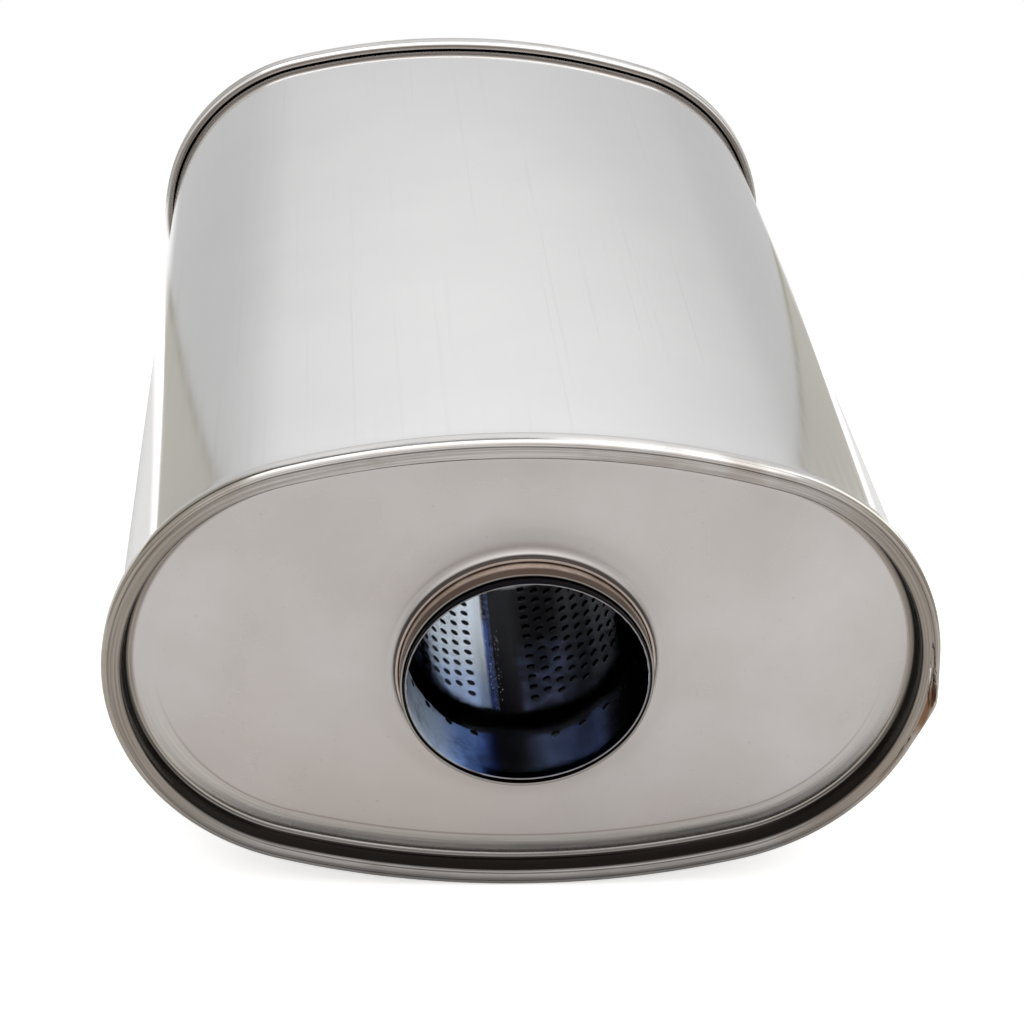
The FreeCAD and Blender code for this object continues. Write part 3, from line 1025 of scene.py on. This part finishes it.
    # roughness and height
    faceRough = stepOf(tree, patches, 0.3, 0.7, *tones["faceRough"])
    rimRough = stepOf(tree, streaks, 0.7, 0.3, *tones["rimRough"])
    roughMix = socketNode(tree, "ShaderNodeMix", data_type="FLOAT")
    feed(tree, roughMix.inputs["Factor"], ring)
    feed(tree, roughMix.inputs["A"], faceRough)
    feed(tree, roughMix.inputs["B"], rimRough)
    rough = plus(tree, roughMix.outputs["Result"], times(tree, rusty, 0.35))
    rough = plus(tree, rough, stepOf(tree, reach, 0.048, 0.038, 0.0, 0.12))
    height = plus(tree, times(tree, streaks, ring), noiseOf(tree, place, 160, 3.0))
    finishSteel(tree, shader, colour, rough, height, 0.05)
    return material


neckTones = {
    "tan": (0.74, 0.65, 0.585),
    "tanDark": (0.56, 0.475, 0.41),
    "scorched": (0.15, 0.11, 0.085),
    "lip": (0.36, 0.335, 0.315),
    # painted shade inside the mouth and on its inner wall
    "shadeBlack": (0.012, 0.009, 0.009),
}


# where the neck's colours lie, in metres
neckBands = {
    "scorched": (0.0013, 0.0001),      # depth behind the rim's front
    "mouth": (-0.0023, -0.0026),
    # the inner part of the mouth painted black as shade, except along the bottom
    "shadeRing": (neck["outer"] - 0.00055, neck["outer"] - 0.0007),
    "shadeHeight": (-0.028, -0.016),
    "outerEdge": (neck["outer"] - 0.00022, neck["outer"] - 0.0001),
    "innerEdge": (neck["inner"] + 0.00012, neck["inner"] + 0.00004),
}


def neckSteel(name):
    tones, bands = neckTones, neckBands
    material, tree, shader, place = startSteel(name)
    x, y, z = axesOf(tree, place)
    depth = depthOf(tree, y)       # so either end has the same heat tint
    reach = reachOf(tree, x, z)
    ragged = plus(tree, depth, times(tree, noiseOf(tree, place, 70, 3.0), 0.0012))
    patches = noiseOf(tree, place, 160, 5.0, 0.65)
    colour = mixOf(tree, stepOf(tree, patches, 0.35, 0.65), tones["tanDark"], tones["tan"])
    colour = mixOf(tree, stepOf(tree, ragged, *bands["scorched"]), colour, tones["scorched"])
    # the cut mouth: a bright ring whose inner part is painted black as shade except along the bottom; the
    # neck's inner wall is painted black as shade too
    atMouth = stepOf(tree, depth, *bands["mouth"])
    sooty = times(tree, stepOf(tree, reach, *bands["shadeRing"]), stepOf(tree, z, *bands["shadeHeight"]))
    ringTone = mixOf(tree, sooty, tones["lip"], tones["shadeBlack"])
    atOuter = stepOf(tree, reach, *bands["outerEdge"])
    ringTone = mixOf(tree, atOuter, ringTone, tones["scorched"])
    colour = mixOf(tree, atMouth, colour, ringTone)
    atInner = stepOf(tree, reach, *bands["innerEdge"])
    colour = mixOf(tree, atInner, colour, tones["shadeBlack"])
    grain = noiseOf(tree, stretched(tree, place, (700, 2500, 700)), 1.0, 3.0)
    rough = stepOf(tree, patches, 0.3, 0.7, 0.30, 0.42)
    finishSteel(tree, shader, colour, rough, grain, 0.06)
    return material


coreTones = {
    "steel": (0.95, 0.965, 0.985),       # bright steel, deep in the tube
    "pale": (0.84, 0.92, 1.0),
    "sky": (0.50, 0.64, 0.96),
    # painted reflection and shade: the seam's blue, the slates, the black and the navy are painted dark
    # where the bore reflects dark surroundings
    "seamBlue": (0.06, 0.11, 0.38),
    "slate": (0.012, 0.014, 0.030),
    "slateHigh": (0.062, 0.074, 0.135),
    "shadeBlack": (0.0075, 0.0072, 0.010),
    "navy": (0.009, 0.010, 0.024),
    "lip": (0.30, 0.288, 0.29),
    "lipTint": (0.16, 0.13, 0.115),
    "oxideMetal": 0.3,
    # heat tint in the socket with painted reflection and shade, by degrees from straight down, towards the
    # right: bright on the left, painted black near the bottom, dark to the right
    "socket": [(-60, (0.66, 0.80, 1.0)), (-42, (0.50, 0.66, 0.98)), (-30, (0.25, 0.42, 0.90)),
               (-19, (0.10, 0.21, 0.62)), (-11, (0.012, 0.022, 0.13)), (-7, (0.008, 0.008, 0.010)),
               (5, (0.008, 0.008, 0.010)), (16, (0.060, 0.085, 0.165)), (30, (0.034, 0.050, 0.120)),
               (44, (0.045, 0.062, 0.140)), (56, (0.007, 0.010, 0.030))],
}


# where the core's colours lie: degrees from straight down, or metres
coreBands = {
    "navy": (27, 44),
    # depth from which the right side is painted black as shade
    "shadeBlack": (0.050, 0.064),
    "besideWeld": (8.0, 4.5),
    "pale": (0.030, 0.058),
    "seamDepth": (0.068, 0.078),
    "seamLeft": (-12.2, -9.8),
    "seamRight": (-8.0, -6.4),
    "brightDepth": (0.096, 0.091),     # deeper in, and along its top, the tube stays bright
    "brightTop": (94, 86),
    # the lip's outer part painted black as shade
    "lipShade": (core["socketRadius"] + 0.00034, core["socketRadius"] + 0.00046),
    "lip": (core["socketRadius"] + 0.00002, core["socketRadius"] + 0.00006),
    "oxide": (-100.0, -80.0, -26.0, -12.0),
    "oxideWall": (core["socketRadius"] + 0.06 * mm, core["socketRadius"] + 0.02 * mm),
}


def coreSteel(name):
    tones, bands = coreTones, coreBands
    material, tree, shader, place = startSteel(name)
    x, depth, z = axesOf(tree, place)
    reach = reachOf(tree, x, z)
    turn = mathOf(tree, "ARCTAN2", x, times(tree, z, -1.0))
    turn = times(tree, turn, 180 / math.pi)
    wander = mathOf(tree, "SUBTRACT", noiseOf(tree, place, 55, 4.0, 0.6), 0.5)
    edgeTurn = plus(tree, turn, times(tree, wander, 7.0))
    clouds = noiseOf(tree, place, 120, 5.0, 0.65)
    # the perforated length: heat tint with painted reflection and shade, pale left of the weld, painted
    # black beside it, dark slate and navy to the right
    right = mixOf(tree, stepOf(tree, clouds, 0.44, 0.66), tones["slate"], tones["slateHigh"])
    right = mixOf(tree, stepOf(tree, edgeTurn, *bands["navy"]), right, tones["navy"])
    sootDepth = plus(tree, depth, times(tree, wander, 0.03))
    right = mixOf(tree, stepOf(tree, sootDepth, *bands["shadeBlack"]), right, tones["shadeBlack"])
    right = mixOf(tree, stepOf(tree, edgeTurn, *bands["besideWeld"]), right, tones["shadeBlack"])
    left = mixOf(tree, stepOf(tree, plus(tree, depth, times(tree, wander, 0.02)), *bands["pale"]),
                 tones["sky"], tones["pale"])
    seamTone = mixOf(tree, stepOf(tree, depth, *bands["seamDepth"]), tones["seamBlue"], tones["shadeBlack"])
    left = mixOf(tree, stepOf(tree, plus(tree, turn, times(tree, wander, 2.0)), *bands["seamLeft"]),
                 left, seamTone)
    holed = mixOf(tree, stepOf(tree, turn, *bands["seamRight"]), left, right)
    # the swaged step, painted black as shade, and the socket
    lapped = plus(tree, mathOf(tree, "DIVIDE", edgeTurn, 360.0), 0.5)
    socket = rampOf(tree, lapped, [((degrees + 180) / 360, tone) for degrees, tone in tones["socket"]])
    socket = mixOf(tree, stepOf(tree, clouds, 0.45, 0.70, 0.0, 0.5), socket, tones["navy"])
    stepLow = core["socketDepth"] - 0.8 * mm
    stepHigh = core["socketDepth"] + core["stepLength"] - 0.5 * mm
    shifted = plus(tree, depth, times(tree, wander, 0.010))
    near = mixOf(tree, stepOf(tree, shifted, stepLow - 1.5 * mm, stepLow), socket, tones["shadeBlack"])
    near = mixOf(tree, stepOf(tree, shifted, stepHigh - 1.2 * mm, stepHigh + 0.8 * mm), near, holed)
    early = stepOf(tree, depth, *bands["brightDepth"])
    lower = stepOf(tree, mathOf(tree, "ABSOLUTE", turn), *bands["brightTop"])
    colour = mixOf(tree, times(tree, lower, early), tones["steel"], near)
    # the cut mouth: its outer part is painted black as shade, so it shines only along its inner edge
    lipTone = mixOf(tree, stepOf(tree, clouds, 0.5, 0.7), tones["lip"], tones["lipTint"])
    lipTone = mixOf(tree, stepOf(tree, reach, *bands["lipShade"]), lipTone, tones["shadeBlack"])
    colour = mixOf(tree, stepOf(tree, reach, *bands["lip"]), colour, lipTone)
    grain = noiseOf(tree, stretched(tree, place, (500, 45, 500)), 1.0, 3.0)
    rough = stepOf(tree, grain, 0.3, 0.7, 0.09, 0.17)
    # the thick blue oxide at the left of the socket is partly matt
    oxide = times(tree, bandOf(tree, edgeTurn, *bands["oxide"]),
                  stepOf(tree, shifted, stepLow, stepLow - 1.5 * mm))
    oxide = times(tree, oxide, stepOf(tree, reach, *bands["oxideWall"]))
    feed(tree, shader.inputs["Metallic"], stepOf(tree, oxide, 0.0, 1.0, 1.0, tones["oxideMetal"]))
    finishSteel(tree, shader, colour, rough, grain, 0.03)
    return material


def packingFinish(name, low, high, scale, roughness):
    material, tree, shader, place = startSteel(name, 0.0)
    fibre = noiseOf(tree, place, scale, 8.0, 0.7)
    tone = rampOf(tree, fibre, [(0.0, low), (1.0, high)])
    finishSteel(tree, shader, tone, roughness, fibre, 0.6, 0.001)
    return material


finishes = {name: plainSteel(name) for name in steelLooks}
finishes["satinCap"] = capSteel("satinCap")
finishes["tintedNeck"] = neckSteel("tintedNeck")
finishes["blueCore"] = coreSteel("blueCore")
finishes["steelWool"] = packingFinish("steelWool", (0.02, 0.02, 0.025), (0.12, 0.12, 0.13), 900, 0.6)
finishes["fibreMat"] = packingFinish("fibreMat", (0.45, 0.42, 0.30), (0.75, 0.72, 0.60), 500, 0.9)

spatter = {
    "rows": [(-9.4, 30.0, 92.0, 46), (-4.3, 32.0, 70.0, 26)],   # degrees, first and last depth in mm, count
    "scatter": 0.7,                # degrees off the row
    "size": (0.10, 0.24),          # radius in mm
    "seed": 4,
}


def buildSpatter():
    # weld spatter beside the bead: small flattened drops sunk in the wall
    chance = random.Random(spatter["seed"])
    made = bmesh.new()
    for angle, first, last, count in spatter["rows"]:
        for _ in range(count):
            size = chance.uniform(*spatter["size"]) * mm
            turn = math.radians(angle + chance.gauss(0, spatter["scatter"]))
            depth = chance.uniform(first, last) * mm
            reach = coreRadius(depth) - 0.2 * size
            centre = Vector((reach * math.sin(turn), depth, -reach * math.cos(turn)))
            shape = Matrix.Diagonal((1, chance.uniform(1.0, 1.7), 0.7, 1))
            matrix = Matrix.Translation(centre) @ Matrix.Rotation(-turn, 4, "Y") @ shape
            bmesh.ops.create_icosphere(made, subdivisions=2, radius=size, matrix=matrix)
    mesh = bpy.data.meshes.new("seamSpatter")
    made.to_mesh(mesh)
    made.free()
    mesh.polygons.foreach_set("use_smooth", [True] * len(mesh.polygons))
    piece = bpy.data.objects.new("seamSpatter", mesh)
    bpy.context.scene.collection.objects.link(piece)
    return piece


seamSpatter = buildSpatter()

dressing = [
    (outerShell, "polishedShell", "polished_shell", ["outer_shell"]),
    (lapStrip, "polishedShell", "polished_shell", []),
    (inletCap, "satinCap", "satin_cap", ["inlet_end_cap"]),
    (outletCap, "satinCap", "satin_cap", ["outlet_end_cap"]),
    (inletNeck, "tintedNeck", "tinted_neck", ["inlet_neck_tube"]),
    (outletNeck, "tintedNeck", "tinted_neck", ["outlet_neck_tube"]),
    (coreTube, "blueCore", "perforated_core", ["core_tube"]),
    (seamSpatter, "weldDrop", "weld_bead", []),
]
for piece, finish, slot, nodes in dressing:
    piece.data.materials.append(finishes[finish])
    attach(piece, "root")
    if nodes:
        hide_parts(*nodes)

hiddenFinishes = {
    "inner_wrap": "plainWrap",
    "core_seam_weld": "weldBead",
    "steel_wool_sleeve": "steelWool",
    "round_packing_mat": "fibreMat",
    "oval_packing_mat": "fibreMat",
}
for node, finish in hiddenFinishes.items():
    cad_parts[node].data.materials.clear()
    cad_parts[node].data.materials.append(finishes[finish])
print("stage: finishes")

studio = {
    "floorSides": 0.34,            # the table's edges, in metres
    "floorFront": -0.45,
    "floorBack": 0.41,
    "floorGap": 0.0002,
    "floorColour": (0.80, 0.80, 0.80),
    "floorGlow": 0.55,             # keeps the floor white in the picture
    "mirrorGlow": 0.5,             # and white where steel shows its far part
    "worldStrength": 1.0,
    "lampAxis": (0.0105, 0.9968, 0.0790),   # middle of the round white screen behind the muffler
    "screenAngle": math.radians(28.8),
    "screen": [(0.0, 0.578), (0.139, 0.598), (0.208, 0.634), (0.276, 0.686),   # by height, brighter upwards
               (0.342, 0.772), (0.407, 0.856), (0.469, 0.946), (0.60, 1.08)],
    "room": (0.52, 0.50, 0.455),
    "screenRim": (0.30, 0.29, 0.24),
    "frontLow": (0.50, 0.49, 0.48),
    "frontHigh": (0.95, 0.94, 0.93),
    "dark": (0.022, 0.021, 0.022),
    "ring": (1.6, 1.6, 1.6),       # light beyond the screen's right edge, which shines down the bore
    "below": (1.0, 1.0, 1.0),
    "overhead": (0.85, 0.85, 0.85),
    "topPower": 9.0,
    "topSize": (2.0, 2.0),
    "topPlace": (0.0, 0.05, 1.3),
    "topAim": (0.0, 0.05, 0.0),
}


def buildFloor():
    sides, front, back = studio["floorSides"], studio["floorFront"], studio["floorBack"]
    z = -body["halfHeight"] - studio["floorGap"]
    corners = [(-sides, front, z), (sides, front, z), (sides, back, z), (-sides, back, z)]
    floor = buildMesh("floor", corners, [(0, 1, 2, 3)])
    material = bpy.data.materials.new("paperFloor")
    material.use_nodes = True
    tree = material.node_tree
    shader = tree.nodes["Principled BSDF"]
    shader.inputs["Base Color"].default_value = (*studio["floorColour"], 1)
    shader.inputs["Roughness"].default_value = 0.9
    seen = tree.nodes.new("ShaderNodeLightPath")
    shader.inputs["Emission Color"].default_value = (1, 1, 1, 1)
    place = tree.nodes.new("ShaderNodeTexCoord")
    y = axesOf(tree, place.outputs["Object"])[1]
    farPart = stepOf(tree, y, body["length"], body["length"] + 0.06, 0.0, studio["mirrorGlow"])
    glow = plus(tree, times(tree, seen.outputs["Is Camera Ray"], studio["floorGlow"]),
                times(tree, seen.outputs["Is Glossy Ray"], farPart))
    tree.links.new(glow, shader.inputs["Emission Strength"])
    floor.data.materials.append(material)


def buildWorld():
    world = bpy.data.worlds.new("studio")
    bpy.context.scene.world = world
    world.use_nodes = True
    tree = world.node_tree
    tree.nodes.clear()
    out = tree.nodes.new("ShaderNodeOutputWorld")
    back = tree.nodes.new("ShaderNodeBackground")
    place = tree.nodes.new("ShaderNodeTexCoord")
    x, y, z = axesOf(tree, place.outputs["Generated"])
    # round white screen behind the muffler
    screen = rampOf(tree, z, studio["screen"])
    facing = tree.nodes.new("ShaderNodeVectorMath")
    facing.operation = "DOT_PRODUCT"
    tree.links.new(place.outputs["Generated"], facing.inputs[0])
    facing.inputs[1].default_value = studio["lampAxis"]
    edge = math.cos(studio["screenAngle"])
    onScreen = stepOf(tree, facing.outputs["Value"], edge - 0.002, edge + 0.001)
    onRim = bandOf(tree, facing.outputs["Value"], edge - 0.006, edge - 0.004, edge - 0.002, edge - 0.001)
    room = mixOf(tree, times(tree, onRim, 0.5), studio["room"], studio["screenRim"])
    rear = mixOf(tree, onScreen, room, screen)
    rear = mixOf(tree, stepOf(tree, z, -0.30, -0.40), rear, studio["below"])
    # beyond the screen: dark on the left, bright on the right
    beside = mixOf(tree, stepOf(tree, x, 0.09, 0.14), studio["dark"], studio["ring"])
    beside = mixOf(tree, stepOf(tree, z, -0.43, -0.47), beside, studio["below"])
    rear = mixOf(tree, bandOf(tree, y, 0.68, 0.74, 0.832, 0.841), rear, beside)
    front = stepOf(tree, y, -0.10, -0.35)
    forward = mixOf(tree, stepOf(tree, z, 0.08, 0.25), studio["frontLow"], studio["frontHigh"])
    around = mixOf(tree, front, rear, forward)
    # soft light overhead
    high = stepOf(tree, z, 0.56, 0.90)
    high = mathOf(tree, "MAXIMUM", times(tree, high, stepOf(tree, y, -0.25, -0.10)),
                  stepOf(tree, z, 0.82, 0.90))
    sky = mixOf(tree, high, around, studio["overhead"])
    seen = tree.nodes.new("ShaderNodeLightPath")
    sky = mixOf(tree, seen.outputs["Is Camera Ray"], sky, (1.0, 1.0, 1.0))
    tree.links.new(sky, back.inputs["Color"])
    back.inputs["Strength"].default_value = studio["worldStrength"]
    tree.links.new(back.outputs["Background"], out.inputs["Surface"])


def addSoftbox(name, place, aim, size, power):
    lamp = bpy.data.lights.new(name, "AREA")
    lamp.shape = "RECTANGLE"
    lamp.size, lamp.size_y = size
    lamp.energy = power
    holder = bpy.data.objects.new(name, lamp)
    bpy.context.scene.collection.objects.link(holder)
    holder.location = place
    holder.rotation_mode = "QUATERNION"
    holder.rotation_quaternion = (Vector(aim) - Vector(place)).to_track_quat("-Z", "Y")
    holder.visible_camera = False


buildFloor()
buildWorld()
addSoftbox("topLight", studio["topPlace"], studio["topAim"], studio["topSize"], studio["topPower"])
print("stage: studio")

camera = {
    "place": Vector((-59.925, -504.853, 343.708)) * mm,
    "down": math.radians(30.046),
    "towardsRight": math.radians(6.017),
    "roll": math.radians(3.728),
    "lens": 81.67,
}


def buildCamera():
    down, aside, roll = camera["down"], camera["towardsRight"], camera["roll"]
    ahead = Vector((math.sin(aside) * math.cos(down), math.cos(aside) * math.cos(down), -math.sin(down)))
    right = Vector((math.cos(aside), -math.sin(aside), 0))
    up = right.cross(ahead)
    turnedRight = right * math.cos(roll) + up * math.sin(roll)
    turnedUp = up * math.cos(roll) - right * math.sin(roll)
    lens = bpy.data.cameras.new("camera")
    lens.lens = camera["lens"]
    lens.sensor_width = 36
    lens.clip_start = 0.01
    holder = bpy.data.objects.new("camera", lens)
    bpy.context.scene.collection.objects.link(holder)
    place = Matrix((turnedRight, turnedUp, -ahead)).transposed().to_4x4()
    place.translation = camera["place"]
    holder.matrix_world = place
    bpy.context.scene.camera = holder


buildCamera()
bpy.context.scene.view_settings.view_transform = "Standard"
